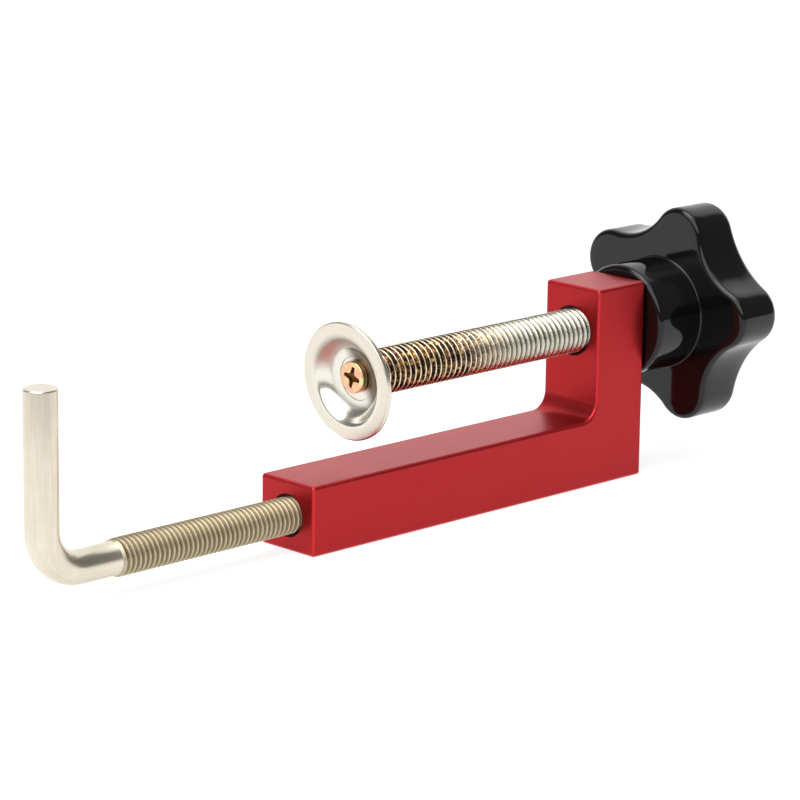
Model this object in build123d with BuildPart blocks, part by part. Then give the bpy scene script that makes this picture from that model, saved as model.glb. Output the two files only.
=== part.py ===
"""Hooked bar clamp for fences and rails, in millimetres.

The origin is the centre of the flat underside of the bar's leg. +X runs along the leg from the
hook to the knob, +Y across the bar and +Z up, along the bar's upright and the hook's arm.
"""

from build123d import *
import os
from math import atan, cos, degrees, hypot, pi, radians, sin

os.makedirs("parts", exist_ok=True)

# Clearances
shaft_clearance = 0.07        # radial gap round a threaded shaft in its tapped hole
moulding_gap = 0.02           # gap between the knob's plastic and the bush moulded into it
rest_contact_gap = 0.03       # gap left where the loose pad leans on its neighbours
cut_overrun = 1.0

# Thread form, as shares of the pitch
crest_flat_share = 0.125
root_flat_share = 0.25
thread_depth_share = 0.6134

# L-shaped bar
leg_length = 100.0
leg_height = 15.0
bar_width = 16.0
throat_height = 18.8          # leg's top face to the screw's axis
upright_over_screw = 10.2     # screw's axis to the upright's top face
upright_thickness = 15.0
inner_corner_radius = 4.0
bar_edge_radius = 0.6
hole_mouth_width = 0.6        # radial width of the countersink at each hole mouth
countersink_angle = 90.0
drill_point_depth = 2.4

# Hook rod, threaded M8 x 1.25
rod_thread_radius = 3.94
rod_pitch = 1.25
rod_shank_radius = 3.5
rod_thread_in_leg = 28.0
rod_thread_outside = 47.0
rod_shank_straight = 8.6      # plain shank from the thread to the bend
bend_radius = 9.0             # centre line of the bend
arm_straight = 28.5           # straight arm above the bend
arm_end_chamfer = 0.4
rod_end_chamfer = 0.8
rod_hole_end_gap = 1.0        # rod end to the flat of the hole, with the rod wound right in

# Clamp screw, threaded M10 x 1.5
screw_thread_radius = 4.93
screw_pitch = 1.5
screw_reach = 64.1            # front face of the upright to the screw's end
screw_end_chamfer = 0.6
screw_knob_chamfer = 0.8

# Pad screw, threaded M4 x 0.7
pad_screw_radius = 1.95
pad_screw_pitch = 0.7
pad_screw_length = 10.0
pad_screw_end_chamfer = 0.4
pad_screw_plain = 2.0         # plain neck under the head
pad_head_radius = 3.4
pad_head_height = 1.3
pad_head_edge_radius = 0.25
recess_length = 4.1           # cross recess, tip to tip
recess_width = 0.95
recess_depth = 1.15
recess_taper = 10.0
recess_turn = 11.0

# Pressure pad, a pressed cup of even sheet
pad_sheet = 1.2
flange_radius = 12.7
bowl_lip_radius = 9.9
bowl_floor_radius = 6.6
bowl_depth = 3.1
bowl_bend_radius = 1.2
flange_edge_radius = 0.35
seat_radius = 4.7
seat_depth = 0.3
pad_hole_play = 0.4           # radial play of the pad on its screw
pad_end_play = 0.64           # play along the screw

# Star knob
hub_gap = 0.4                 # hub to the upright, as the clamp is shown
hub_radius = 12.5
hub_length = 13.35
hub_edge_width = 1.2
hub_root_radius = 0.4
star_thickness = 13.4
lobe_count = 5
star_radius = 24.9
waist_depth = 6.3
lobe_radius = 6.8
waist_draft = 0.7             # the waists grow shallower towards the back by this much
star_turn = 32.3
star_crown = 1.0              # rise of the domed back over the lobe tips
star_front_edge_radius = 1.2
star_back_edge_radius = 2.4

# Threaded bush moulded into the knob
bush_wall = 2.2
bush_length = 16.0
bush_groove_width = 2.0
bush_groove_depth = 0.7
bush_collar_width = 2.5

# Places worked out from the sizes
leg_end_x = -leg_length / 2
back_x = leg_length / 2
upright_front_x = back_x - upright_thickness
rod_z = leg_height / 2
screw_z = leg_height + throat_height
upright_height = screw_z + upright_over_screw
arm_x = leg_end_x - rod_thread_outside - rod_shank_straight - bend_radius
arm_top_z = rod_z + bend_radius + arm_straight
rod_hole_depth = rod_thread_in_leg + rod_thread_outside + rod_hole_end_gap
screw_end_x = upright_front_x - screw_reach
hub_front_x = back_x + hub_gap
star_front_x = hub_front_x + hub_length
star_back_x = star_front_x + star_thickness
rod_axis = Axis((0, 0, rod_z), (1, 0, 0))
screw_axis = Axis((0, 0, screw_z), (1, 0, 0))


def facing_hook(x, z):
    """Plane square to X at the point x, z, with its normal towards the hook."""
    return Plane(origin=(x, 0, z), x_dir=(0, 1, 0), z_dir=(-1, 0, 0))


def facing_knob(x, z):
    """Plane square to X at the point x, z, with its normal towards the knob."""
    return Plane(origin=(x, 0, z), x_dir=(0, 1, 0), z_dir=(1, 0, 0))


def thread_depth(pitch):
    """Height of the thread from root to crest."""
    return pitch * thread_depth_share


def thread_points(start_x, end_x, crest_radius, pitch, axis_z):
    """Crests and roots from start_x to end_x, one turn of grooves for each pitch that fits."""
    root_radius = crest_radius - thread_depth(pitch)
    crest_flat = pitch * crest_flat_share
    root_flat = pitch * root_flat_share
    flank = (pitch - crest_flat - root_flat) / 2
    points = []
    for turn in range(int((end_x - start_x) / pitch)):
        x = start_x + turn * pitch
        points.append((x, axis_z + crest_radius))
        points.append((x + crest_flat, axis_z + crest_radius))
        points.append((x + crest_flat + flank, axis_z + root_radius))
        points.append((x + crest_flat + flank + root_flat, axis_z + root_radius))
    return points


# L-shaped bar, with a blind hole for the hook rod and a through hole for the clamp screw
screw_hole_radius = screw_thread_radius + shaft_clearance
screw_mouth_radius = screw_hole_radius + hole_mouth_width
rod_hole_radius = rod_thread_radius + shaft_clearance
rod_mouth_radius = rod_hole_radius + hole_mouth_width
inner_corner = Vertex(upright_front_x, 0, leg_height)

with BuildPart() as clamp_body:
    with BuildSketch(Plane.XZ):
        with BuildLine():
            Polyline(
                (leg_end_x, 0),
                (back_x, 0),
                (back_x, upright_height),
                (upright_front_x, upright_height),
                (upright_front_x, leg_height),
                (leg_end_x, leg_height),
                close=True,
            )
        make_face()
    extrude(amount=bar_width / 2, both=True)
    fillet(edges().filter_by(Axis.Y).sort_by_distance(inner_corner)[0], inner_corner_radius)
    cross_edges = edges().filter_by(Axis.Y).sort_by_distance(inner_corner)[2:]
    side_edges = edges().filter_by(Axis.Y, reverse=True)
    fillet(cross_edges + side_edges, bar_edge_radius)
    with Locations(facing_hook(leg_end_x, rod_z)):
        CounterSinkHole(rod_hole_radius, rod_mouth_radius, rod_hole_depth, countersink_angle)
    with Locations(facing_knob(leg_end_x + rod_hole_depth, rod_z)):
        Cone(
            rod_hole_radius,
            0,
            drill_point_depth,
            align=(Align.CENTER, Align.CENTER, Align.MIN),
            mode=Mode.SUBTRACT,
        )
    with Locations(facing_hook(upright_front_x, screw_z), facing_knob(back_x, screw_z)):
        CounterSinkHole(screw_hole_radius, screw_mouth_radius, upright_thickness, countersink_angle)

clamp_body.part.label = "clamp_body"
export_step(clamp_body.part, "parts/clamp_body.step")


# Hook rod: threaded stem, plain shank, quarter bend and upright arm
rod_end_x = leg_end_x + rod_thread_in_leg
rod_thread_x = leg_end_x - rod_thread_outside
runout = rod_thread_radius - rod_shank_radius

with BuildPart() as hook_rod:
    with BuildSketch(Plane.XZ):
        with BuildLine():
            Polyline(
                (rod_thread_x, rod_z),
                (rod_thread_x, rod_z + rod_shank_radius),
                *thread_points(
                    rod_thread_x + runout, rod_end_x - rod_end_chamfer, rod_thread_radius, rod_pitch, rod_z
                ),
                (rod_end_x - rod_end_chamfer, rod_z + rod_thread_radius - thread_depth(rod_pitch)),
                (rod_end_x, rod_z + rod_thread_radius - thread_depth(rod_pitch)),
                (rod_end_x, rod_z),
                close=True,
            )
        make_face()
    revolve(axis=rod_axis)
    with BuildLine(Plane.XZ) as rod_path:
        FilletPolyline((rod_thread_x, rod_z), (arm_x, rod_z), (arm_x, arm_top_z), radius=bend_radius)
    with BuildSketch(facing_hook(rod_thread_x, rod_z)):
        Circle(rod_shank_radius)
    sweep(path=rod_path.line)
    chamfer(faces().sort_by(Axis.Z)[-1].edges(), arm_end_chamfer)

hook_rod.part.label = "hook_rod"
export_step(hook_rod.part, "parts/hook_rod.step")


# Clamp screw, with a tapped hole in its end for the pad screw
screw_back_x = hub_front_x + bush_length
screw_root_radius = screw_thread_radius - thread_depth(screw_pitch)

with BuildPart() as clamp_screw:
    with BuildSketch(Plane.XZ):
        with BuildLine():
            Polyline(
                (screw_end_x, screw_z),
                (screw_end_x, screw_z + screw_thread_radius - screw_end_chamfer),
                *thread_points(
                    screw_end_x + screw_end_chamfer,
                    screw_back_x - screw_knob_chamfer,
                    screw_thread_radius,
                    screw_pitch,
                    screw_z,
                ),
                (screw_back_x - screw_knob_chamfer, screw_z + screw_root_radius),
                (screw_back_x, screw_z + screw_root_radius),
                (screw_back_x, screw_z),
                close=True,
            )
        make_face()
    revolve(axis=screw_axis)
    with Locations(facing_hook(screw_end_x, screw_z)):
        Hole(pad_screw_radius + shaft_clearance, pad_screw_length)

clamp_screw.part.label = "clamp_screw"
export_step(clamp_screw.part, "parts/clamp_screw.step")


# Pad screw, a flat round head with a cross recess
seat_thickness = pad_sheet - seat_depth
head_under_x = screw_end_x - seat_thickness - pad_end_play
head_face_x = head_under_x - pad_head_height
pad_screw_end_x = head_under_x + pad_screw_length
pad_screw_root_radius = pad_screw_radius - thread_depth(pad_screw_pitch)

with BuildPart() as pad_screw:
    with BuildSketch(Plane.XZ):
        with BuildLine():
            Polyline(
                (head_face_x, screw_z),
                (head_face_x, screw_z + pad_head_radius),
                (head_under_x, screw_z + pad_head_radius),
                (head_under_x, screw_z + pad_screw_radius),
                *thread_points(
                    head_under_x + pad_screw_plain,
                    pad_screw_end_x - pad_screw_end_chamfer,
                    pad_screw_radius,
                    pad_screw_pitch,
                    screw_z,
                ),
                (pad_screw_end_x - pad_screw_end_chamfer, screw_z + pad_screw_root_radius),
                (pad_screw_end_x, screw_z + pad_screw_root_radius),
                (pad_screw_end_x, screw_z),
                close=True,
            )
        make_face()
    revolve(axis=screw_axis)
    fillet(faces().sort_by(Axis.X)[0].edges(), pad_head_edge_radius)
    with BuildSketch(facing_knob(head_face_x, screw_z)):
        Rectangle(recess_length, recess_width, rotation=recess_turn)
        Rectangle(recess_width, recess_length, rotation=recess_turn)
    extrude(amount=recess_depth, taper=recess_taper, mode=Mode.SUBTRACT)

pad_screw.part.label = "pad_screw"
export_step(pad_screw.part, "parts/pad_screw.step")


# Pressure pad, which hangs loose on the pad screw: it drops by its play, and leans until the
# screw head touches its floor at the top and the clamp screw's end touches its back at the bottom
pad_hole_radius = pad_screw_radius + pad_hole_play
pad_drop = pad_hole_play - rest_contact_gap * 2
screw_end_radius = screw_thread_radius - screw_end_chamfer
lean_slope = (pad_end_play - rest_contact_gap * 2) / (pad_head_radius + screw_end_radius)
pad_lean = atan(lean_slope)
seat_mid_x = (
    head_under_x + rest_contact_gap + (pad_head_radius + pad_drop) * lean_slope
    + seat_thickness / 2 / cos(pad_lean)
)
seat_mid_depth = bowl_depth + seat_depth + seat_thickness / 2
pad_normal = Vector(cos(pad_lean), 0, sin(pad_lean))
pad_up = Vector(-sin(pad_lean), 0, cos(pad_lean))
pad_front = Vector(seat_mid_x, 0, screw_z - pad_drop) - pad_normal * seat_mid_depth
pad_section = Plane(origin=pad_front, x_dir=pad_up, z_dir=(0, 1, 0))
pad_face = Plane(origin=pad_front, x_dir=(0, 1, 0), z_dir=pad_normal)

with BuildPart() as pressure_pad:
    with BuildSketch(pad_section):
        with BuildLine() as front_line:
            FilletPolyline(
                (0, bowl_depth),
                (bowl_floor_radius, bowl_depth),
                (bowl_lip_radius, 0),
                (flange_radius, 0),
                radius=bowl_bend_radius,
            )
            offset(amount=pad_sheet, side=Side.LEFT)
        make_face()
    revolve(axis=Axis(pad_front, pad_normal))
    fillet(edges().filter_by(GeomType.CIRCLE).group_by(SortBy.RADIUS)[-1], flange_edge_radius)
    with BuildSketch(pad_face.offset(bowl_depth)):
        Circle(seat_radius)
    extrude(amount=seat_depth, mode=Mode.SUBTRACT)
    with BuildSketch(pad_face.offset(bowl_depth)):
        Circle(pad_hole_radius)
    extrude(amount=pad_sheet + cut_overrun, mode=Mode.SUBTRACT)

pressure_pad.part.label = "pressure_pad"
export_step(pressure_pad.part, "parts/pressure_pad.step")


# Threaded bush in the knob, with two grooves that the plastic fills
bush_radius = screw_hole_radius + bush_wall
bush_back_x = hub_front_x + bush_length


def bush_outline(gap):
    """Half section of the bush round the screw's axis, grown by the gap."""
    outer = screw_z + bush_radius + gap
    groove = outer - bush_groove_depth
    first = hub_front_x + bush_collar_width
    last = bush_back_x - bush_collar_width
    with BuildLine() as outline:
        Polyline(
            (hub_front_x, screw_z),
            (hub_front_x, outer),
            (first + gap, outer),
            (first + gap, groove),
            (first + bush_groove_width - gap, groove),
            (first + bush_groove_width - gap, outer),
            (last - bush_groove_width + gap, outer),
            (last - bush_groove_width + gap, groove),
            (last - gap, groove),
            (last - gap, outer),
            (bush_back_x + gap, outer),
            (bush_back_x + gap, screw_z),
            close=True,
        )
    make_face(outline.edges())


with BuildPart() as knob_bush:
    with BuildSketch(Plane.XZ):
        bush_outline(0)
    revolve(axis=screw_axis)
    with Locations(facing_hook(hub_front_x, screw_z)):
        Hole(screw_hole_radius, bush_length)

knob_bush.part.label = "knob_bush"
export_step(knob_bush.part, "parts/knob_bush.step")


# Star knob: a hub, and a star of round lobes joined by round waists
def polar(radius, angle):
    """Point at a radius and an angle in radians."""
    return radius * cos(angle), radius * sin(angle)


def star_outline(depth):
    """Star with waists of the given depth, each lobe's arc running smoothly into the next waist's."""
    step = 2 * pi / lobe_count
    lobe_centre = star_radius - lobe_radius
    waist_bottom = star_radius - depth
    along = lobe_centre * cos(step / 2)
    waist_radius = (lobe_radius ** 2 - lobe_centre ** 2 - waist_bottom ** 2 + 2 * along * waist_bottom) / (
        2 * (waist_bottom - along - lobe_radius)
    )
    waist_centre = waist_bottom + waist_radius
    across = waist_centre * sin(step / 2)
    ahead = waist_centre * cos(step / 2) - lobe_centre
    share = lobe_radius / hypot(ahead, across)
    joint_x = lobe_centre + ahead * share
    joint_y = across * share
    joint_radius = hypot(joint_x, joint_y)
    joint_angle = atan(joint_y / joint_x)
    with BuildLine() as outline:
        for lobe in range(lobe_count):
            angle = lobe * step
            ThreePointArc(
                polar(joint_radius, angle - joint_angle),
                polar(star_radius, angle),
                polar(joint_radius, angle + joint_angle),
            )
            ThreePointArc(
                polar(joint_radius, angle + joint_angle),
                polar(waist_bottom, angle + step / 2),
                polar(joint_radius, angle + step - joint_angle),
            )
    make_face(outline.edges())


star_front = Plane(
    origin=(star_front_x, 0, screw_z),
    x_dir=(0, cos(radians(star_turn)), sin(radians(star_turn))),
    z_dir=(1, 0, 0),
)

with BuildPart() as star_knob:
    with BuildSketch(star_front):
        star_outline(waist_depth)
    with BuildSketch(star_front.offset(star_thickness)):
        star_outline(waist_depth - waist_draft)
    loft(ruled=True)
    with BuildSketch(Plane.XZ):
        with BuildLine():
            # A shallow arc falls by a quarter of its full drop at half its width
            crown_arc = ThreePointArc(
                (star_back_x, screw_z),
                (star_back_x - star_crown / 4, screw_z + star_radius / 2),
                (star_back_x - star_crown, screw_z + star_radius),
            )
            Polyline(
                crown_arc @ 1,
                (star_back_x - star_crown, screw_z + star_radius + cut_overrun),
                (star_back_x + cut_overrun, screw_z + star_radius + cut_overrun),
                (star_back_x + cut_overrun, screw_z),
                crown_arc @ 0,
            )
        make_face()
    revolve(axis=screw_axis, mode=Mode.SUBTRACT)
    fillet(faces().sort_by(Axis.X)[0].edges(), star_front_edge_radius)
    fillet(faces().sort_by(Axis.X)[-1].edges(), star_back_edge_radius)
    with BuildSketch(facing_knob(hub_front_x, screw_z)):
        Circle(hub_radius)
    extrude(amount=hub_length)
    hub_edges = edges(Select.LAST).filter_by(GeomType.CIRCLE).sort_by(Axis.X)
    chamfer(hub_edges[0], hub_edge_width)
    fillet(hub_edges[-1], hub_root_radius)
    with BuildSketch(Plane.XZ):
        bush_outline(moulding_gap)
    revolve(axis=screw_axis, mode=Mode.SUBTRACT)

star_knob.part.label = "star_knob"
export_step(star_knob.part, "parts/star_knob.step")

print("screw thread:", round(screw_back_x - screw_end_x, 3), "long; pad lean", round(degrees(pad_lean), 2))
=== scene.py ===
"""Looks of the hooked bar clamp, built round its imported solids.

Places are in the part's own frame, in metres: the origin is the centre of the leg's underside, +X
runs along the leg from the hook to the knob, and +Z up. Main dimensions come from the solids' boxes,
and the classes' fields hold the rest.
"""

from __future__ import annotations

import logging
from dataclasses import dataclass, field
from enum import Enum
from typing import Any, Callable, Union

import bmesh
import bpy
import numpy as np
from mathutils import Matrix, Vector


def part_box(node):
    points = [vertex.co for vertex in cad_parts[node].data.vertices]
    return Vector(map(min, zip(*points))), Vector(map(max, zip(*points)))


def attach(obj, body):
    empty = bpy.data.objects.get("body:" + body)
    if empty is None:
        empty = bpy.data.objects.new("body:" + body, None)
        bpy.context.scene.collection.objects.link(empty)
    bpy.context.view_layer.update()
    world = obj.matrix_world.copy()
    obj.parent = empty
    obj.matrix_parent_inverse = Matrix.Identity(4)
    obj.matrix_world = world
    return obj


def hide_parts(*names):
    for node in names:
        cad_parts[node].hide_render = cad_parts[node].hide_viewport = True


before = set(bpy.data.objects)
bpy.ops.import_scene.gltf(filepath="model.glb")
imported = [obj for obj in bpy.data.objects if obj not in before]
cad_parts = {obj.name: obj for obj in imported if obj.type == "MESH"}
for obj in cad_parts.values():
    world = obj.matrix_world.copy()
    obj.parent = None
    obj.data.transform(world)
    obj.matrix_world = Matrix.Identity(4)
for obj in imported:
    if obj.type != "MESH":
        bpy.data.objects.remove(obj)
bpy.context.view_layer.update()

MM = 0.001
TURN = 2 * np.pi
ROD_PITCH = 1.25 * MM
SCREW_PITCH = 1.5 * MM
log = logging.getLogger("clamp")

Colour = tuple[float, float, float]
Triple = tuple[float, float, float]
RadiusRule = Callable[[np.ndarray, np.ndarray], np.ndarray]


class Body(Enum):
    """Moving bodies of the clamp."""

    FRAME = "frame"
    PAD = "pad"
    SCREW = "screw"
    HOOK = "hook"


class Slot(Enum):
    """Finish slots that the record names."""

    BAR = "anodised_bar"
    ROD = "plated_rod"
    SPINDLE = "zinc_screw"
    PAD = "bright_pad"
    PAD_SCREW = "yellow_zinc"
    KNOB = "black_knob"
    BUSH = "bush_metal"


class Crease(Enum):
    """Angle in degrees above which an edge between two faces stays sharp."""

    MACHINED = 28.0
    ROLLED = 48.0


@dataclass(frozen=True)
class Box:
    """Lowest and highest corners of a CAD node at rest."""

    low: np.ndarray
    high: np.ndarray

    @classmethod
    def of(cls, node: str) -> "Box":
        """Reads the box of one CAD node."""
        low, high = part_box(node)
        return cls(np.array(low), np.array(high))

    @property
    def size(self) -> np.ndarray:
        """Lengths along X, Y and Z."""
        return self.high - self.low

    @property
    def middle(self) -> np.ndarray:
        """Centre point."""
        return (self.low + self.high) / 2


def smooth_step(value: np.ndarray, low: float, high: float) -> np.ndarray:
    """Rises from 0 at low to 1 at high, as three times a share's square less twice its cube."""
    share = np.clip((value - low) / (high - low), 0, 1)
    return share * share * (3 - 2 * share)


def unit(vectors: np.ndarray) -> np.ndarray:
    """Scales each row to length one, and leaves rows of no length alone."""
    length = np.linalg.norm(vectors, axis=-1, keepdims=True)
    return vectors / np.where(length > 0, length, 1)


def offset_line(points: np.ndarray, distance: float, closed: bool = False) -> np.ndarray:
    """Moves a line of corners to its left by a distance, measured square to its sides.

    A corner moves by the sum of its two sides' normals over one plus their product, so that both
    sides stay parallel to where they were.

    Args:
        points: corners in a plane, one row each.
        distance: how far each side moves.
        closed: whether the last corner joins the first one.

    Returns:
        The moved corners.
    """
    along = unit(np.roll(points, -1, axis=0) - points)
    if not closed:
        along[-1] = along[-2]
    after = np.stack([-along[:, 1], along[:, 0]], axis=1)
    before = np.roll(after, 1, axis=0)
    if not closed:
        before[0] = after[0]
    reach = 1 + np.sum(before * after, axis=1, keepdims=True)
    return points + (before + after) / reach * distance


def rounded_line(
    points: np.ndarray, radii: np.ndarray, steps: int = 6, closed: bool = False
) -> np.ndarray:
    """Replaces each corner of a line by an arc that touches both of its sides.

    The arc's centre stands on the corner's bisector, at the radius over the sine of half the
    corner's angle. The points between its ends are the two end spokes, weighted by the sines of the
    angles still to go and already gone, over the sine of the whole turn.

    Args:
        points: corners in a plane, one row each.
        radii: radius at each corner, where 0 leaves it as it is.
        steps: arc pieces for each corner.
        closed: whether the last corner joins the first one.

    Returns:
        Points of the rounded line, steps plus one for each corner, or one at the ends of an open line.
    """
    radii = np.asarray(radii, float)[:, None]
    back = unit(np.roll(points, 1, axis=0) - points)
    onward = unit(np.roll(points, -1, axis=0) - points)
    half = np.arccos(np.clip(np.sum(back * onward, axis=1, keepdims=True), -1, 1)) / 2
    half = np.clip(half, 1e-6, TURN / 4 - 1e-6)
    centre = points + unit(back + onward) * radii / np.sin(half)
    first = points + back * radii / np.tan(half) - centre
    last = points + onward * radii / np.tan(half) - centre
    turn = TURN / 2 - 2 * half
    share = np.linspace(0, 1, steps + 1)[None, :, None]
    turn = turn[:, :, None]
    spokes = np.sin((1 - share) * turn) * first[:, None] + np.sin(share * turn) * last[:, None]
    arcs = centre[:, None] + spokes / np.sin(turn)
    if closed:
        return arcs.reshape(-1, 2)
    return np.vstack([points[:1], arcs[1:-1].reshape(-1, 2), points[-1:]])


class Surface:
    """Patches of one closed surface, gathered as arrays and welded into a mesh."""

    WELD = 2e-7

    def __init__(self) -> None:
        """Starts with no patches."""
        self.points: list[np.ndarray] = []
        self.faces: list[list[int]] = []
        self.count = 0

    def add_points(self, points: np.ndarray) -> int:
        """Adds points.

        Args:
            points: points, in an array of any shape whose last axis is X, Y and Z.

        Returns:
            Index of the first of them in the mesh.
        """
        first = self.count
        self.points.append(points.reshape(-1, 3))
        self.count += len(self.points[-1])
        return first

    def add_grid(self, grid: np.ndarray, climb: int = 0, open_columns: tuple[int, ...] = ()) -> None:
        """Adds a grid whose columns run round and meet again.

        Face (i, k) joins points (i, k), (i + 1, k), (i + 1, k + 1) and (i, k + 1). The last column
        meets the first one, at rows moved on by the climb, as a helix does after a turn.

        Args:
            grid: points, rows by columns by 3.
            climb: rows by which the surface rises in one turn.
            open_columns: columns whose faces are left out.
        """
        rows, columns = grid.shape[:2]
        index = self.add_points(grid) + np.arange(rows * columns).reshape(rows, columns)
        beyond = np.full((rows, 1), -1)
        beyond[: rows - climb, 0] = index[climb:, 0]
        index = np.hstack([index, beyond])
        quads = np.stack([index[:-1, :-1], index[1:, :-1], index[1:, 1:], index[:-1, 1:]], axis=-1)
        quads = np.delete(quads, list(open_columns), axis=1).reshape(-1, 4)
        self.faces += quads[(quads >= 0).all(axis=1)].tolist()

    def add_holed_wall(self, ring: np.ndarray, corners: np.ndarray) -> None:
        """Adds a flat four-cornered wall round a circular hole.

        Each stretch of the ring is joined to the corner of its own quarter, and where two quarters
        meet one more triangle joins the ring's point to both corners.

        Args:
            ring: points round the hole, a multiple of four of them, starting between two corners.
            corners: four points, in the order of the ring's quarters.
        """
        amount = len(ring)
        start = self.add_points(ring)
        corner = self.add_points(corners)
        step = np.arange(amount)
        side = np.arange(4)
        fan = [start + step, start + (step + 1) % amount, corner + step * 4 // amount]
        gaps = [start + side * amount // 4, corner + side, corner + (side - 1) % 4]
        self.faces += np.stack(fan, axis=1).tolist() + np.stack(gaps, axis=1).tolist()

    def add_cap(self, loop: np.ndarray) -> None:
        """Adds one flat face bounded by a loop of points."""
        first = self.add_points(loop)
        self.faces.append(list(range(first, first + len(loop))))

    def build(self, name: str, crease: Crease) -> bpy.types.Object:
        """Welds the patches, turns their faces outward and puts the mesh in the scene.

        Args:
            name: name of the new object.
            crease: which edges stay sharp.

        Returns:
            The new object, at the origin.
        """
        mesh = bpy.data.meshes.new(name)
        mesh.from_pydata(np.concatenate(self.points).tolist(), [], self.faces)
        work = bmesh.new()
        work.from_mesh(mesh)
        bmesh.ops.remove_doubles(work, verts=work.verts, dist=self.WELD)
        bmesh.ops.dissolve_degenerate(work, edges=work.edges, dist=self.WELD)
        bmesh.ops.recalc_face_normals(work, faces=work.faces)
        open_edges = sum(not edge.is_manifold for edge in work.edges)
        work.to_mesh(mesh)
        work.free()
        mesh.shade_smooth()
        mesh.set_sharp_from_angle(angle=float(np.radians(crease.value)))
        made = bpy.data.objects.new(name, mesh)
        bpy.context.scene.collection.objects.link(made)
        log.info("%s: %d faces, %d open edges", name, len(mesh.polygons), open_edges)
        return made


@dataclass(frozen=True)
class Axis:
    """A straight axis along X, with points placed round it by distance, radius and angle."""

    y: float
    z: float

    def points(self, x: np.ndarray, radius: np.ndarray, angle: np.ndarray) -> np.ndarray:
        """Places points round the axis.

        A point stands at x along the axis, its radius times the angle's cosine towards +Y and its
        radius times the angle's sine towards +Z.

        Args:
            x: places along the axis.
            radius: distances from the axis.
            angle: angles from +Y towards +Z.

        Returns:
            Points, in the shape that the three arrays have together.
        """
        across = self.y + radius * np.cos(angle)
        up = self.z + radius * np.sin(angle)
        return np.stack(np.broadcast_arrays(x, across, up), axis=-1)

    def revolve(self, section: np.ndarray, angle: np.ndarray) -> np.ndarray:
        """Turns a section of x and radius round the axis, as a grid of one row for each point."""
        return self.points(section[:, :1], section[:, 1:], angle[None, :])


def even_angles(amount: int) -> np.ndarray:
    """Gives equal steps round one turn."""
    return np.arange(amount) * TURN / amount


@dataclass(frozen=True)
class Thread:
    """A right-hand rolled thread. Stations and heights give one pitch of its section, as shares."""

    pitch: float
    columns: int = 64
    stations: tuple[float, ...] = (0, 0.05, 0.085, 0.33, 0.39, 0.45, 0.55, 0.61, 0.67, 0.915, 0.95)
    heights: tuple[float, ...] = (1, 1, 0.96, 0.1, 0.02, 0, 0, 0.02, 0.1, 0.96, 1)

    @property
    def climb(self) -> int:
        """Rows of the surface in one pitch."""
        return len(self.stations)

    @property
    def angles(self) -> np.ndarray:
        """Angles of the columns."""
        return even_angles(self.columns)

    def _round(self, axis: Axis, start: float, x: np.ndarray, rule: RadiusRule) -> np.ndarray:
        """Places points at x, whose height is the section's at the way from start less the turn.

        Args:
            axis: axis of the thread.
            start: x at which the helix starts.
            x: places along the axis, one column for each angle.
            rule: gives the radius for x and for the height share.

        Returns:
            Points, rows by columns by 3.
        """
        phase = (x - start) / self.pitch - self.angles / TURN
        height = np.interp(phase % 1, self.stations, self.heights, period=1)
        return axis.points(x, rule(x, height), self.angles)

    def sleeve(self, axis: Axis, start: float, end: float, rule: RadiusRule) -> np.ndarray:
        """Gives the threaded surface between two end planes as a grid.

        A row follows the helix: it lies at start plus pitch times the sum of its turn, its station
        and its column's share of a turn. What would lie beyond an end plane is drawn in to that
        plane's ring, where welding closes it.

        Args:
            axis: axis of the thread.
            start: x of the first end plane.
            end: x of the last end plane.
            rule: gives the radius for x and for the height share.

        Returns:
            Grid for Surface.add_grid, to be added with this thread's climb.
        """
        turns = np.arange(-1, np.ceil((end - start) / self.pitch) + 1)
        row = (turns[:, None] + np.array(self.stations)).reshape(-1, 1)
        x = np.clip(start + self.pitch * (row + self.angles / TURN), start, end)
        return self._round(axis, start, x, rule)

    def ring(self, axis: Axis, start: float, x: float, rule: RadiusRule) -> np.ndarray:
        """Gives the ring in which the sleeve from start meets the plane at x, as one row."""
        return self._round(axis, start, np.full((1, self.columns), x), rule)

    def end_disc(self, axis: Axis, start: float, end: float, rule: RadiusRule) -> np.ndarray:
        """Gives the flat end of the sleeve from start, as its last ring and the axis' point there."""
        ring = self.ring(axis, start, end, rule)
        return np.vstack([ring, np.broadcast_to([[(end, axis.y, axis.z)]], ring.shape)])


class Wire:
    """A node's output, with arithmetic that adds Math nodes to the same tree."""

    def __init__(self, board: "Board", socket: bpy.types.NodeSocket) -> None:
        """Wraps an output socket of a board's tree."""
        self.board = board
        self.socket = socket

    def _maths(self, operation: str, first: "Feed", second: "Feed") -> "Wire":
        """Adds one Math node."""
        return self.board.node("ShaderNodeMath", {"operation": operation}, {0: first, 1: second})

    def __add__(self, other: "Feed") -> "Wire":
        """Adds."""
        return self._maths("ADD", self, other)

    def __radd__(self, other: "Feed") -> "Wire":
        """Adds, with the wire on the right."""
        return self._maths("ADD", other, self)

    def __sub__(self, other: "Feed") -> "Wire":
        """Subtracts."""
        return self._maths("SUBTRACT", self, other)

    def __rsub__(self, other: "Feed") -> "Wire":
        """Subtracts, with the wire on the right."""
        return self._maths("SUBTRACT", other, self)

    def __mul__(self, other: "Feed") -> "Wire":
        """Multiplies."""
        return self._maths("MULTIPLY", self, other)

    def __rmul__(self, other: "Feed") -> "Wire":
        """Multiplies, with the wire on the right."""
        return self._maths("MULTIPLY", other, self)

    def step(self, low: float, high: float) -> "Wire":
        """Rises smoothly from 0 at low to 1 at high."""
        settings = {"interpolation_type": "SMOOTHSTEP"}
        return self.board.node("ShaderNodeMapRange", settings, {0: self, 1: low, 2: high})


Feed = Union[Wire, float, Triple, tuple[float, float, float, float]]


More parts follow.
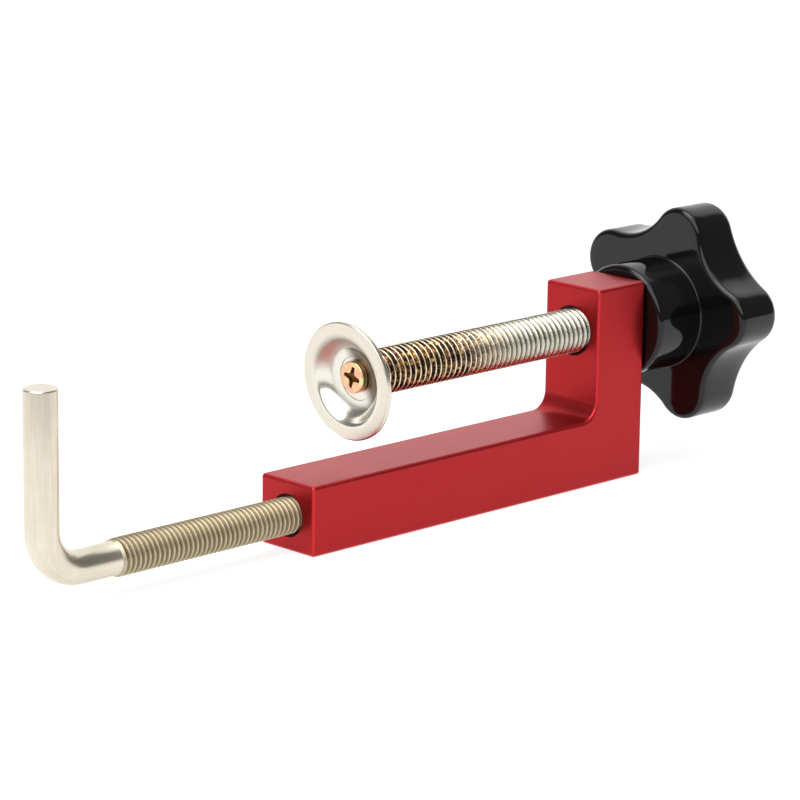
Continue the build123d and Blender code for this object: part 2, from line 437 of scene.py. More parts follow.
class Board:
    """The node tree of a material or of the world."""

    def __init__(self, tree: bpy.types.NodeTree) -> None:
        """Works on an existing tree."""
        self.tree = tree

    def node(
        self, kind: str, settings: dict[str, Any], feeds: dict[Any, Feed], output: Any = 0
    ) -> Wire:
        """Adds a node.

        Args:
            kind: Blender's name of the node's type.
            settings: the node's own settings, made first; "stops" gives a ramp's places and colours.
            feeds: values or wires by input name or number.
            output: name or number of the output to give back.

        Returns:
            The chosen output.
        """
        made = self.tree.nodes.new(kind)
        for name, value in settings.items():
            if name == "stops":
                self._set_stops(made.color_ramp, value)
            else:
                setattr(made, name, value)
        for name, value in feeds.items():
            self.feed(made.inputs[name], value)
        return Wire(self, made.outputs[output])

    def feed(self, socket: bpy.types.NodeSocket, value: Feed) -> None:
        """Links a wire to a socket, or sets the socket's own value.

        Args:
            socket: input to feed.
            value: wire or plain value.
        """
        if isinstance(value, Wire):
            self.tree.links.new(value.socket, socket)
        else:
            socket.default_value = value

    @staticmethod
    def _set_stops(ramp: bpy.types.ColorRamp, stops: list[tuple[float, Colour]]) -> None:
        """Gives a colour ramp its stops.

        Args:
            ramp: ramp to set.
            stops: places from 0 to 1 with their colours.
        """
        while len(ramp.elements) < len(stops):
            ramp.elements.new(1.0)
        for element, (place, colour) in zip(ramp.elements, stops):
            element.position = place
            element.color = (*colour, 1)

    def vectors(self, operation: str, *feeds: Feed, output: Any = 0) -> Wire:
        """Adds one Vector Math node."""
        settings = {"operation": operation}
        return self.node("ShaderNodeVectorMath", settings, dict(enumerate(feeds)), output)

    def place(
        self, centre: Triple = (0, 0, 0), turn: Triple = (0, 0, 0), scale: Triple = (1, 1, 1)
    ) -> Wire:
        """Gives the piece's own coordinates, measured from a centre, then turned and scaled.

        Args:
            centre: point that becomes the origin.
            turn: angles about X, Y and Z.
            scale: factors along X, Y and Z, where a small one draws a pattern out.

        Returns:
            The coordinates.
        """
        own = self.node("ShaderNodeTexCoord", {}, {}, "Object")
        feeds = {"Vector": self.vectors("SUBTRACT", own, centre), "Rotation": turn, "Scale": scale}
        return self.node("ShaderNodeMapping", {}, feeds)

    def part(self, vector: Wire, letter: str) -> Wire:
        """Gives one coordinate of a vector."""
        return self.node("ShaderNodeSeparateXYZ", {}, {0: vector}, letter)

    def from_axis(self, place: Wire) -> Wire:
        """Gives the distance from the X axis of a set of coordinates."""
        return self.vectors("LENGTH", self.vectors("MULTIPLY", place, (0, 1, 1)), output="Value")

    def noise(self, vector: Wire, size: float, detail: float = 3.0, roughness: float = 0.5) -> Wire:
        """Gives cloudy noise about 0.5, with blotches of a size in metres."""
        feeds = {"Vector": vector, "Scale": 1 / size, "Detail": detail, "Roughness": roughness}
        return self.node("ShaderNodeTexNoise", {}, feeds)

    def blend(self, factor: Feed, first: Feed, second: Feed) -> Wire:
        """Mixes two colours.

        Args:
            factor: share of the second colour.
            first: colour at a factor of 0.
            second: colour at a factor of 1.

        Returns:
            The mixed colour.
        """
        first = first if isinstance(first, Wire) else (*first, 1)
        second = second if isinstance(second, Wire) else (*second, 1)
        return self.node("ShaderNodeMix", {"data_type": "RGBA"}, {0: factor, 6: first, 7: second}, 2)

    def ramp(self, factor: Wire, stops: list[tuple[float, Colour]]) -> Wire:
        """Gives a colour by a value's place between stops."""
        return self.node("ShaderNodeValToRGB", {"stops": stops}, {0: factor})

    def bump(self, height: Wire, depth: float, strength: float = 1.0) -> Wire:
        """Gives normals bent by a height whose full step has a depth in metres."""
        feeds = {"Height": height, "Distance": depth, "Strength": strength}
        return self.node("ShaderNodeBump", {}, feeds)


class Finish(Board):
    """A new material with its main shader."""

    def __init__(self, name: str) -> None:
        """Makes the material.

        Args:
            name: name of the material.
        """
        self.material = bpy.data.materials.new(name)
        self.material.use_nodes = True
        super().__init__(self.material.node_tree)
        self.shader = self.tree.nodes["Principled BSDF"]

    def set(self, **feeds: Feed) -> bpy.types.Material:
        """Feeds the shader's inputs.

        Args:
            feeds: values or wires by input name, with underscores for spaces.

        Returns:
            The material.
        """
        for name, value in feeds.items():
            socket = self.shader.inputs[name.replace("_", " ").title().replace("Ior", "IOR")]
            if socket.type == "RGBA" and isinstance(value, tuple):
                value = (*value, 1)
            self.feed(socket, value)
        return self.material


@dataclass(frozen=True)
class AnodisedRed:
    """Dyed and sealed aluminium with a fine blasted grain, with a painted highlight on its rounded edges and
    painted shade in its holes.
    """

    holes: tuple[tuple[Axis, float, float], ...]
    colour: Colour = (0.42, 0.02, 0.024)
    deep: Colour = (0.33, 0.008, 0.011)
    painted_reflection: Colour = (0.58, 0.032, 0.035)
    shaded: Colour = (0.045, 0.002, 0.003)
    grain: float = 0.16 * MM
    cloud: float = 9 * MM
    wall_fade: float = 0.1 * MM
    end_fade: float = 1 * MM
    grain_depth: float = 0.004 * MM

    def make(self) -> bpy.types.Material:
        """Makes the material.

        Returns:
            The material.
        """
        board = Finish("anodised_red")
        place = board.place()
        cloud = board.noise(place, self.cloud)
        grain = board.noise(place, self.grain, 2)
        edge = board.node("ShaderNodeAttribute", {"attribute_name": Bar.EDGE}, {}, "Fac")
        colour = board.blend(cloud * 0.3 + grain * 0.2, self.colour, self.deep)
        # Painted highlight: the rounded edges, where the bar's edge attribute is high, are mixed towards a
        # paler red.
        colour = board.blend(edge * (0.5 + grain * 0.5), colour, self.painted_reflection)
        # Painted shade: inside the holes and round their mouths the colour goes to the dark shaded red.
        hole: Feed = 0.0
        for axis, radius, end in self.holes:
            around = board.from_axis(board.place((0, axis.y, axis.z)))
            before_end = 1 - board.part(place, "X").step(end, end + self.end_fade)
            within = 1 - around.step(radius - self.wall_fade, radius + self.wall_fade)
            hole = within * before_end + hole
        return board.set(
            base_color=board.blend(hole, colour, self.shaded),
            metallic=0.9 - hole * 0.6,
            roughness=0.30 + grain * 0.12 + cloud * 0.03 + hole * 0.3,
            normal=board.bump(grain, self.grain_depth, 0.5),
        )


@dataclass(frozen=True)
class WarmNickel:
    """Satin nickel plate on drawn steel, straw-coloured on the thread, with painted shade in its grooves."""

    axis: Axis
    root: float
    crest: float
    thread_start: float
    arm_from: float
    bright: Colour = (0.72, 0.665, 0.56)
    warm: Colour = (0.625, 0.57, 0.46)
    groove_shade: Colour = (0.27, 0.22, 0.135)
    straw: Colour = (0.45, 0.36, 0.225)
    cloud: float = 6 * MM
    grain: float = 0.12 * MM
    streak: float = 0.5 * MM
    stretch: float = 0.05
    fleck: float = 0.7 * MM
    thread_fade: tuple[float, float] = (-0.2 * MM, 0.5 * MM)
    arm_fade: float = 4 * MM
    grain_depth: float = 0.006 * MM

    def make(self) -> bpy.types.Material:
        """Makes the material.

        Returns:
            The material.
        """
        board = Finish("warm_nickel")
        place = board.place((0, self.axis.y, self.axis.z))
        x = board.part(place, "X")
        threaded = x.step(*(self.thread_start + way for way in self.thread_fade))
        height = board.from_axis(place).step(self.root, self.crest)
        groove = threaded * (1 - height.step(0.6, 0.97))
        cloud = board.noise(place, self.cloud, 4)
        grain = board.noise(place, self.grain, 2)
        fleck = board.noise(place, self.fleck, 4, 0.65).step(0.4, 0.65)
        on_stem = board.noise(board.place(scale=(self.stretch, 1, 1)), self.streak, 3)
        on_arm = board.noise(board.place(scale=(1, 1, self.stretch)), self.streak, 3)
        drawn = on_arm + (on_stem - on_arm) * x.step(self.arm_from, self.arm_from + self.arm_fade)
        plain = board.blend((drawn * 0.7 + cloud * 0.5).step(0.35, 0.85), self.bright, self.warm)
        crest = board.blend(threaded * (0.7 + fleck * 0.3), plain, self.straw)
        # Painted shade: the thread's grooves are darkened towards the groove shade colour.
        colour = board.blend(groove * (0.75 + cloud * 0.4), crest, self.groove_shade)
        return board.set(
            base_color=colour,
            metallic=1.0,
            roughness=0.2 + grain * 0.1 + drawn * 0.06 + groove * 0.15 + threaded * 0.12,
            normal=board.bump(grain + drawn * 1.5, self.grain_depth, 0.6),
        )


@dataclass(frozen=True)
class StainedZinc:
    """Bright zinc plate that turns gold, brown and black in the grooves towards the pad, and has painted
    shade in its grooves where it is clean.
    """

    axis: Axis
    root: float
    crest: float
    stained_until: float = -7 * MM
    clean_from: float = 20 * MM
    ragged: float = 26 * MM
    bright: Colour = (0.58, 0.565, 0.48)
    greenish: Colour = (0.46, 0.46, 0.325)
    straw: Colour = (0.84, 0.70, 0.50)
    brown: Colour = (0.16, 0.065, 0.018)
    gold: Colour = (0.70, 0.44, 0.13)
    black: Colour = (0.012, 0.010, 0.009)
    grey: Colour = (0.06, 0.066, 0.058)
    cloud: float = 2.2 * MM
    blot: float = 1.1 * MM
    grain: float = 0.3 * MM
    grain_depth: float = 0.06 * MM

    def make(self) -> bpy.types.Material:
        """Makes the material, whose stain fades out at a place moved to and fro by the cloud.

        Returns:
            The material.
        """
        board = Finish("stained_zinc")
        place = board.place((0, self.axis.y, self.axis.z))
        height = board.from_axis(place).step(self.root, self.crest)
        cloud = board.noise(place, self.cloud, 5, 0.6)
        fine = board.noise(place, self.grain, 3)
        along = board.part(place, "X") + (cloud - 0.5) * self.ragged
        stain = 1 - along.step(self.stained_until, self.clean_from)
        speckle = board.noise(place, self.blot, 5, 0.7)
        groove = 1 - height.step(0.1, 0.85)
        flank = 1 - height.step(0.9, 1.0)
        dark = board.blend(speckle.step(0.46, 0.56), self.black, self.brown)
        golden = speckle.step(0.54, 0.66) * (0.35 + cloud.step(0.4, 0.6) * 0.65)
        dark = board.blend(golden, dark, self.gold)
        plate = board.blend(cloud.step(0.4, 0.7), self.bright, self.greenish)
        # Painted shade: in the clean part the grooves are darkened towards grey.
        clean = board.blend(groove * (0.35 + speckle), plate, self.grey)
        tint = board.blend(stain * cloud.step(0.3, 0.6), clean, self.straw)
        colour = board.blend(stain * flank, tint, dark)
        return board.set(
            base_color=colour,
            metallic=1.0,
            roughness=0.14 + fine * 0.1 + groove * 0.12 + stain * flank * 0.15,
            normal=board.bump(fine + speckle * 2, self.grain_depth, 0.9),
        )


@dataclass(frozen=True)
class BrightNickel:
    """Bright plate on a pressed dish, satin on the flat ring and mirror-like in the bowl, with painted shade
    on the bowl's upper wall and a painted reflection on one side of its floor.
    """

    centre: Triple
    lean: float
    floor: float
    bowl: float
    colour: Colour = (0.76, 0.73, 0.66)
    flat: Colour = (0.69, 0.64, 0.545)
    soft: Colour = (0.50, 0.46, 0.40)
    painted_reflection: Colour = (0.085, 0.062, 0.04)
    floor_fade: float = 0.6 * MM
    flat_fade: float = 1.2 * MM
    cloud: float = 5 * MM
    grain: float = 0.15 * MM
    wave: float = 2.5 * MM
    tool_mark: float = 0.35 * MM
    reflection_side: tuple[float, float] = (-0.5 * MM, 3.0 * MM)
    bowl_shade_side: tuple[float, float] = (-1 * MM, 5 * MM)
    wave_depth: float = 0.01 * MM

    def make(self) -> bpy.types.Material:
        """Makes the material.

        Returns:
            The material.
        """
        board = Finish("bright_nickel")
        place = board.place(self.centre, (0, self.lean, 0))
        across, up = board.part(place, "Y"), board.part(place, "Z")
        radius = board.from_axis(place)
        flat = radius.step(self.bowl, self.bowl + self.flat_fade)
        floor = 1 - radius.step(self.floor - self.floor_fade, self.floor)
        cloud = board.noise(place, self.cloud, 3)
        grain = board.noise(place, self.grain, 3)
        wave = board.noise(place, self.wave, 1)
        ring = board.node("ShaderNodeCombineXYZ", {}, {"X": radius})
        turned = board.noise(ring, self.tool_mark, 3)
        # Painted reflection of the pad screw's head and the bowl's near wall: one side of the floor is
        # darkened towards brown, in turned rings.
        painted_reflection_mask = floor * (up * 0.5 - across * 0.85).step(*self.reflection_side)
        # Painted shade: the bowl's upper wall is darkened towards the soft colour; its added roughness is
        # the satin finish.
        upper = up.step(*self.bowl_shade_side) * (1 - flat) * (1 - floor)
        colour = board.blend(upper, board.blend(flat, self.colour, self.flat), self.soft)
        colour = board.blend(painted_reflection_mask * (0.35 + turned * 1.1), colour, self.painted_reflection)
        return board.set(
            base_color=colour,
            metallic=1.0,
            roughness=0.16 + upper * 0.26 + floor * 0.12 + flat * 0.08 + grain * 0.06 + cloud * 0.05,
            normal=board.bump(wave * 3 + grain * flat, self.wave_depth, 0.6),
        )


@dataclass(frozen=True)
class YellowZinc:
    """Passivated zinc with its play of pink, gold and green, and painted shade in its cross recess."""

    axis: Axis
    face: float
    recess_reach: float
    pink: Colour = (0.80, 0.40, 0.31)
    gold: Colour = (0.80, 0.55, 0.27)
    green: Colour = (0.64, 0.68, 0.32)
    brown: Colour = (0.16, 0.07, 0.018)
    dark_depths: tuple[float, float] = (0.05 * MM, 0.4 * MM)
    dark_shares: tuple[float, float] = (0.95, 1.1)
    cloud: float = 2.6 * MM
    grain: float = 0.2 * MM
    grain_depth: float = 0.006 * MM

    def make(self) -> bpy.types.Material:
        """Makes the material.

        Returns:
            The material.
        """
        board = Finish("yellow_zinc")
        place = board.place((0, self.axis.y, self.axis.z))
        play = board.noise(place, self.cloud, 2)
        fine = board.noise(place, self.grain, 2)
        around = board.from_axis(place)
        # Painted shade: inside the cross recess, below the head's face, the colour goes to brown.
        inside = 1 - around.step(*(self.recess_reach * share for share in self.dark_shares))
        deep = inside * board.part(place, "X").step(*(self.face + way for way in self.dark_depths))
        stops = [(0.36, self.green), (0.46, self.gold), (0.56, self.pink), (0.66, self.gold)]
        colour = board.blend(deep, board.ramp(play, stops), self.brown)
        return board.set(
            base_color=colour,
            metallic=1.0,
            roughness=0.2 + fine * 0.1 + deep * 0.15,
            normal=board.bump(fine, self.grain_depth, 0.5),
        )


@dataclass(frozen=True)
class GlossBlack:
    """Polished black phenolic plastic with a faint moulding wave."""

    colour: Colour = (0.003, 0.003, 0.003)
    gloss: float = 1.41
    wave: float = 7 * MM
    haze: float = 1.5 * MM
    wave_depth: float = 0.03 * MM

    def make(self) -> bpy.types.Material:
        """Makes the material.

        Returns:
            The material.
        """
        board = Finish("gloss_black")
        place = board.place()
        wave = board.noise(place, self.wave, 1)
        haze = board.noise(place, self.haze, 4)
        return board.set(
            base_color=self.colour,
            roughness=0.04 + haze * 0.05,
            ior=self.gloss,
            normal=board.bump(wave, self.wave_depth, 0.5),
        )


@dataclass(frozen=True)
class TurnedBrass:
    """Turned brass."""

    colour: Colour = (0.75, 0.53, 0.22)
    stretch: float = 0.05
    tool_mark: float = 0.1 * MM
    mark_depth: float = 0.004 * MM

    def make(self) -> bpy.types.Material:
        """Makes the material.

        Returns:
            The material.
        """
        board = Finish("turned_brass")
        cut = board.noise(board.place(scale=(1, self.stretch, self.stretch)), self.tool_mark, 2)
        return board.set(
            base_color=self.colour,
            metallic=1.0,
            roughness=0.25 + cut * 0.1,
            normal=board.bump(cut, self.mark_depth),
        )


def dress(piece: bpy.types.Object, material: bpy.types.Material) -> None:
    """Gives a piece its material.

    Args:
        piece: piece to dress.
        material: its finish.
    """
    piece.data.materials.clear()
    piece.data.materials.append(material)


def seat(piece: bpy.types.Object, body: Body, node: str) -> None:
    """Makes a piece ride on a body and stand for a CAD node."""
    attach(piece, body.value)
    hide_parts(node)


@dataclass
class Bore:
    """A tapped hole along X with a countersunk mouth."""

    axis: Axis
    radius: float
    pitch: float
    mouth: float = 0.6 * MM
    lip: float = 0.1 * MM
    groove: float = 0.35 * MM

    @property
    def thread(self) -> Thread:
        """Thread cut into the hole's wall."""
        return Thread(self.pitch)

    def add_mouth(
        self, surface: Surface, x: float, inward: int, corners: np.ndarray, inner: np.ndarray
    ) -> None:
        """Adds the holed wall and the countersink down to the hole's first ring.

        Args:
            surface: surface to add to.
            x: place of the wall.
            inward: 1 if the hole goes towards +X, or else -1.
            corners: the wall's corners, in the order of the quarters of a turn from +Y.
            inner: the hole's ring at the bottom of the countersink.
        """
        wide = self.radius + self.mouth
        section = np.array([(x, wide + self.lip), (x, wide), (x + inward * self.mouth, self.radius)])
        section = rounded_line(section, [0, self.lip * 2, 0], 3)
        grid = self.axis.revolve(section[:-1], self.thread.angles)
        surface.add_holed_wall(grid[0], corners)
        surface.add_grid(np.vstack([grid, inner]))

    def rule(self, start: float, end: float) -> RadiusRule:
        """Gives the rule for the tapped wall's radius: the hole's, plus a groove that fades.

        Args:
            start: x at which the tapped wall starts.
            end: x at which it ends.

        Returns:
            Rule that gives the radius for x and for the height share.
        """

        def radius(x: np.ndarray, height: np.ndarray) -> np.ndarray:
            """Adds to the hole's radius the groove, faded in from the start and out to the end.

            Args:
                x: places along the hole.
                height: share of the groove's depth.

            Returns:
                The radii.
            """
            fade = smooth_step(x, start, start + self.groove)
            fade = fade * (1 - smooth_step(x, end - self.groove, end))
            return self.radius + self.groove * height * fade

        return radius


@dataclass
class Bar:
    """The L-shaped bar, with a blind hole for the rod and a through hole for the screw."""

    EDGE = "edge"

    box: Box = field(default_factory=lambda: Box.of("clamp_body"))
    leg_height: float = 15.0 * MM
    upright_thickness: float = 15.0 * MM
    inner_radius: float = 4.0 * MM
    edge_radius: float = 0.75 * MM
    clearance: float = 0.07 * MM
    rod_hole_depth: float = 76.0 * MM
    drill_point: float = 2.4 * MM
    steps: int = 6
    # Painted highlight on the rounded edges: where it begins and where it is full.
    edge_highlight_from: float = 0.02
    edge_highlight_to: float = 0.12
    hollow_reach: float = 1.05
    hole_reach: float = 1.3

    @property
    def rod_hole_end(self) -> float:
        """Place where the rod's hole ends, before the drill's point."""
        return self.box.low[0] + self.rod_hole_depth

    def ring(self, y: float, inset: float) -> np.ndarray:
        """Gives the outline at y, drawn in by the inset, with its corners rounded less by as much.

        Args:
            y: place of the outline.
            inset: distance inside the full outline.

        Returns:
            Points of the outline.
        """
        low, high = self.box.low, self.box.high
        upright_x = high[0] - self.upright_thickness
        corners = np.array(
            [
                (low[0], low[2]),
                (high[0], low[2]),
                (high[0], high[2]),
                (upright_x, high[2]),
                (upright_x, low[2] + self.leg_height),
                (low[0], low[2] + self.leg_height),
            ]
        )
        convex = np.array([1, 1, 1, 1, -1, 1])
        radii = np.where(convex > 0, self.edge_radius, self.inner_radius) - convex * inset
        line = rounded_line(offset_line(corners, inset, closed=True), radii, self.steps, closed=True)
        return np.stack([line[:, 0], np.full(len(line), y), line[:, 1]], axis=1)

    def wall(self, belt: np.ndarray, corner: int) -> tuple[int, np.ndarray]:
        """Finds the flat wall after a corner of the outline.

        Args:
            belt: the two rings on either side of the walls, at -Y and +Y.
            corner: number of the corner before the wall.

        Returns:
            The wall's column in the belt, and its corners in the order of the quarters from +Y.
        """
        column = corner * (self.steps + 1) + self.steps
        ends = belt[:, [column, (column + 1) % belt.shape[1]]]
        rising = ends[0, 1, 2] > ends[0, 0, 2]
        top, bottom = (ends[:, 1], ends[:, 0]) if rising else (ends[:, 0], ends[:, 1])
        return column, np.stack([top[1], top[0], bottom[0], bottom[1]])

    def build(self, rod: Axis, rod_radius: float, screw: Axis, screw_radius: float) -> bpy.types.Object:
        """Builds the bar.

        Args:
            rod: axis of the hook rod.
            rod_radius: radius over the rod's thread.
            screw: axis of the clamp screw.
            screw_radius: radius over the screw's thread.

        Returns:
            The bar's object.
        """
        surface = Surface()
        half = self.box.size[1] / 2
        bend = np.linspace(0, TURN / 4, self.steps + 1)
        places = half - self.edge_radius * (1 - np.sin(bend))
        insets = self.edge_radius * (1 - np.cos(bend))
        far = np.stack([self.ring(y, inset) for y, inset in zip(places, insets)])
        near = far * (1, -1, 1)
        belt = np.stack([near[0], far[0]])
        back, front, end = (self.wall(belt, corner) for corner in (1, 3, 5))
        surface.add_grid(far)
        surface.add_grid(near)
        surface.add_grid(belt, open_columns=(back[0], front[0], end[0]))
        surface.add_cap(far[-1])
        surface.add_cap(near[-1])
        screw_bore = Bore(screw, screw_radius + self.clearance, SCREW_PITCH)
        rod_bore = Bore(rod, rod_radius + self.clearance, ROD_PITCH)
        self._add_through_hole(surface, screw_bore, front[1], back[1])
        self._add_blind_hole(surface, rod_bore, end[1])
        piece = surface.build("red_bar", Crease.MACHINED)
        self._mark_edges(piece, ((rod, rod_radius), (screw, screw_radius)))
        weighted = piece.modifiers.new("flat_faces_lead", "WEIGHTED_NORMAL")
        weighted.keep_sharp = True
        return piece

    def _mark_edges(self, piece: bpy.types.Object, holes: tuple[tuple[Axis, float], ...]) -> None:
        """Writes an attribute that is 1 on rounded edges and 0 on flats and in holes; it places the painted
        highlight on the edges.

        A point's share rises as the largest part of its normal falls short of one. In the hollow
        corner only the part along Y and the whole of the rest are compared, so that its round
        surface counts as flat.

        Args:
            piece: the bar.
            holes: axis and thread radius of each hole.
        """
        mesh = piece.data
        normals = np.empty(len(mesh.vertices) * 3)
        places = np.empty(len(mesh.vertices) * 3)
        mesh.vertex_normals.foreach_get("vector", normals)
        mesh.vertices.foreach_get("co", places)
        parts, places = np.abs(normals.reshape(-1, 3)), places.reshape(-1, 3)
        sideways = np.maximum(parts[:, 1], np.hypot(parts[:, 0], parts[:, 2]))
        corner_x = self.box.high[0] - self.upright_thickness
        corner = np.array([corner_x, 0, self.box.low[2] + self.leg_height])
        from_corner = np.abs((places - corner)[:, [0, 2]]).max(axis=1)
        in_hollow = from_corner < self.inner_radius * self.hollow_reach
        largest = np.where(in_hollow, sideways, parts.max(axis=1))
        edge = smooth_step(1 - largest, self.edge_highlight_from, self.edge_highlight_to)
        for axis, radius in holes:
            from_axis = np.hypot(places[:, 1] - axis.y, places[:, 2] - axis.z)
            edge[from_axis < radius * self.hole_reach] = 0
        mesh.attributes.new(self.EDGE, "FLOAT", "POINT").data.foreach_set("value", edge)

    def _add_through_hole(
        self, surface: Surface, bore: Bore, front: np.ndarray, back: np.ndarray
    ) -> None:
        """Adds the tapped hole through the upright.

        Args:
            surface: surface to add to.
            bore: the hole.
            front: corners of the upright's wall towards the hook.
            back: corners of its wall towards the knob.
        """
        thread = bore.thread
        start, end = front[0, 0] + bore.mouth, back[0, 0] - bore.mouth
        rule = bore.rule(start, end)
        surface.add_grid(thread.sleeve(bore.axis, start, end, rule), thread.climb)
        bore.add_mouth(surface, front[0, 0], 1, front, thread.ring(bore.axis, start, start, rule))
        bore.add_mouth(surface, back[0, 0], -1, back, thread.ring(bore.axis, start, end, rule))

    def _add_blind_hole(self, surface: Surface, bore: Bore, wall: np.ndarray) -> None:
        """Adds the tapped hole in the leg's end, closed by the drill's point.

        Args:
            surface: surface to add to.
            bore: the hole.
            wall: corners of the leg's end wall.
        """
        thread = bore.thread
        start = wall[0, 0] + bore.mouth
        end = self.rod_hole_end
        rule = bore.rule(start, end)
        surface.add_grid(thread.sleeve(bore.axis, start, end, rule), thread.climb)
        bore.add_mouth(surface, wall[0, 0], 1, wall, thread.ring(bore.axis, start, start, rule))
        point = np.array([(end, bore.radius), (end + self.drill_point, 0)])
        surface.add_grid(bore.axis.revolve(point, thread.angles))


@dataclass
class HookRod:
    """Threaded rod that goes on as a plain shank, bends up and ends as an arm."""

    box: Box = field(default_factory=lambda: Box.of("hook_rod"))
    thread: Thread = field(default_factory=lambda: Thread(ROD_PITCH))
    crest: float = field(init=False)
    thread_start: float = -97.0 * MM
    shank: float = 3.5 * MM
    bend: float = 9.0 * MM
    thread_height: float = 0.767 * MM
    bevel: float = 0.5 * MM
    run_in: float = 1.7 * MM
    tail_drop: float = 0.04 * MM
    tip_round: float = 0.4 * MM
    arc_steps: int = 28

    def __post_init__(self) -> None:
        """Works out the crest radius from the box."""
        self.crest = self.box.size[1] / 2

    @property
    def axis(self) -> Axis:
        """Axis of the threaded stem."""
        return Axis(0.0, self.box.low[2] + self.crest)

    @property
    def root(self) -> float:
        """Radius at the thread's root."""
        return self.crest - self.thread_height

    def radius(self, x: np.ndarray, height: np.ndarray) -> np.ndarray:
        """Radius of the stem: a bevel up from the shank, grooves that deepen, and a chamfered tail.

        The tail's chamfer runs at 45 degrees to a little under the thread's root.

        Args:
            x: places along the stem.
            height: share of the thread's height.

        Returns:
            The radii.
        """
        way = x - self.thread_start
        outer = self.shank + (self.crest - self.shank) * np.clip(way / self.bevel, 0, 1)
        groove = self.thread_height * smooth_step(way, self.bevel * 0.4, self.run_in)
        tail = self.root - self.tail_drop + (self.box.high[0] - x)
        return np.minimum(outer - groove * (1 - height), tail)

    def path_rows(self) -> tuple[np.ndarray, np.ndarray, np.ndarray]:
        """Gives the shank's centre line from the thread to the arm's tip.

        Returns:
            Centres as x and z, the angle turned through at each, and the radius there.
        """
        arm_x = self.box.low[0] + self.shank
        bend_x = arm_x + self.bend
        turned = np.linspace(0, TURN / 4, self.arc_steps + 1)
        arc_x = bend_x - self.bend * np.sin(turned)
        arc_z = self.axis.z + self.bend * (1 - np.cos(turned))
        arc = np.stack([arc_x, arc_z], axis=1)
        top = self.box.high[2]
        tip = np.linspace(0, TURN / 4, 5)
        rise = top - self.tip_round * (1 - np.sin(tip))
        arm = np.stack([np.full(len(rise), arm_x), rise], axis=1)
        start = np.array([(self.thread_start, self.axis.z)])
        centres = np.vstack([start, arc, arm, arm[-1:]])
        angles = np.concatenate([[0], turned, np.full(len(rise) + 1, TURN / 4)])
        tip_radii = self.shank - self.tip_round * (1 - np.cos(tip))
        radii = np.concatenate([np.full(len(arc) + 1, self.shank), tip_radii, [0]])
        return centres, angles, radii

    def build(self) -> bpy.types.Object:
        """Builds the rod.

        The plain part carries a circle along its path: a point stands its radius times the angle's
        cosine towards +Y, and its radius times the sine along the path's upward normal, which leans
        over from +Z to +X as the path turns up.

        Returns:
            The rod's object.
        """
        surface = Surface()
        end = self.box.high[0]
        sleeve = self.thread.sleeve(self.axis, self.thread_start, end, self.radius)
        surface.add_grid(sleeve, self.thread.climb)
        surface.add_grid(self.thread.end_disc(self.axis, self.thread_start, end, self.radius))
        centres, turned, radii = (values[:, None] for values in self.path_rows())
        up = radii * np.sin(self.thread.angles)
        x = centres[..., 0] + up * np.sin(turned)
        y = radii * np.cos(self.thread.angles)
        z = centres[..., 1] + up * np.cos(turned)
        surface.add_grid(np.stack([x, y, z], axis=-1))
        return surface.build("hooked_rod", Crease.ROLLED)


@dataclass
class Spindle:
    """The clamp screw, threaded all along, with a tapped hole in the end that carries the pad."""

    box: Box = field(default_factory=lambda: Box.of("clamp_screw"))
    thread: Thread = field(default_factory=lambda: Thread(SCREW_PITCH))
    thread_height: float = 0.92 * MM
    end_chamfer: float = 0.6 * MM
    knob_chamfer: float = 0.8 * MM
    hole_radius: float = 2.02 * MM
    hole_depth: float = 10.0 * MM
    hole_chamfer: float = 0.2 * MM

    @property
    def axis(self) -> Axis:
        """Axis of the screw."""
        return Axis(0.0, self.box.middle[2])

    @property
    def crest(self) -> float:
        """Radius over the thread."""
        return self.box.size[1] / 2

    @property
    def root(self) -> float:
        """Radius at the thread's root."""
        return self.crest - self.thread_height

    def radius(self, x: np.ndarray, height: np.ndarray) -> np.ndarray:
        """Radius of the thread, held under a chamfer at each end.

        Args:
            x: places along the screw.
            height: share of the thread's height.

        Returns:
            The radii.
        """
        thread = self.root + self.thread_height * height
        front = self.crest - self.end_chamfer + (x - self.box.low[0])
        back = self.crest - self.knob_chamfer - self.end_chamfer / 2 + (self.box.high[0] - x)
        return np.minimum(np.minimum(thread, front), back)

    def build(self) -> bpy.types.Object:
        """Builds the screw.

        Returns:
            The screw's object.
        """
        surface = Surface()
        start, end = self.box.low[0], self.box.high[0]
        surface.add_grid(self.thread.sleeve(self.axis, start, end, self.radius), self.thread.climb)
        near = self.thread.ring(self.axis, start, start, self.radius)
        hole = np.array(
            [
                (start, self.hole_radius + self.hole_chamfer),
                (start + self.hole_chamfer, self.hole_radius),
                (start + self.hole_depth, self.hole_radius),
                (start + self.hole_depth, 0),
            ]
        )
        surface.add_grid(np.vstack([near, self.axis.revolve(hole, self.thread.angles)]))
        surface.add_grid(self.thread.end_disc(self.axis, start, end, self.radius))
        return surface.build("spindle", Crease.ROLLED)


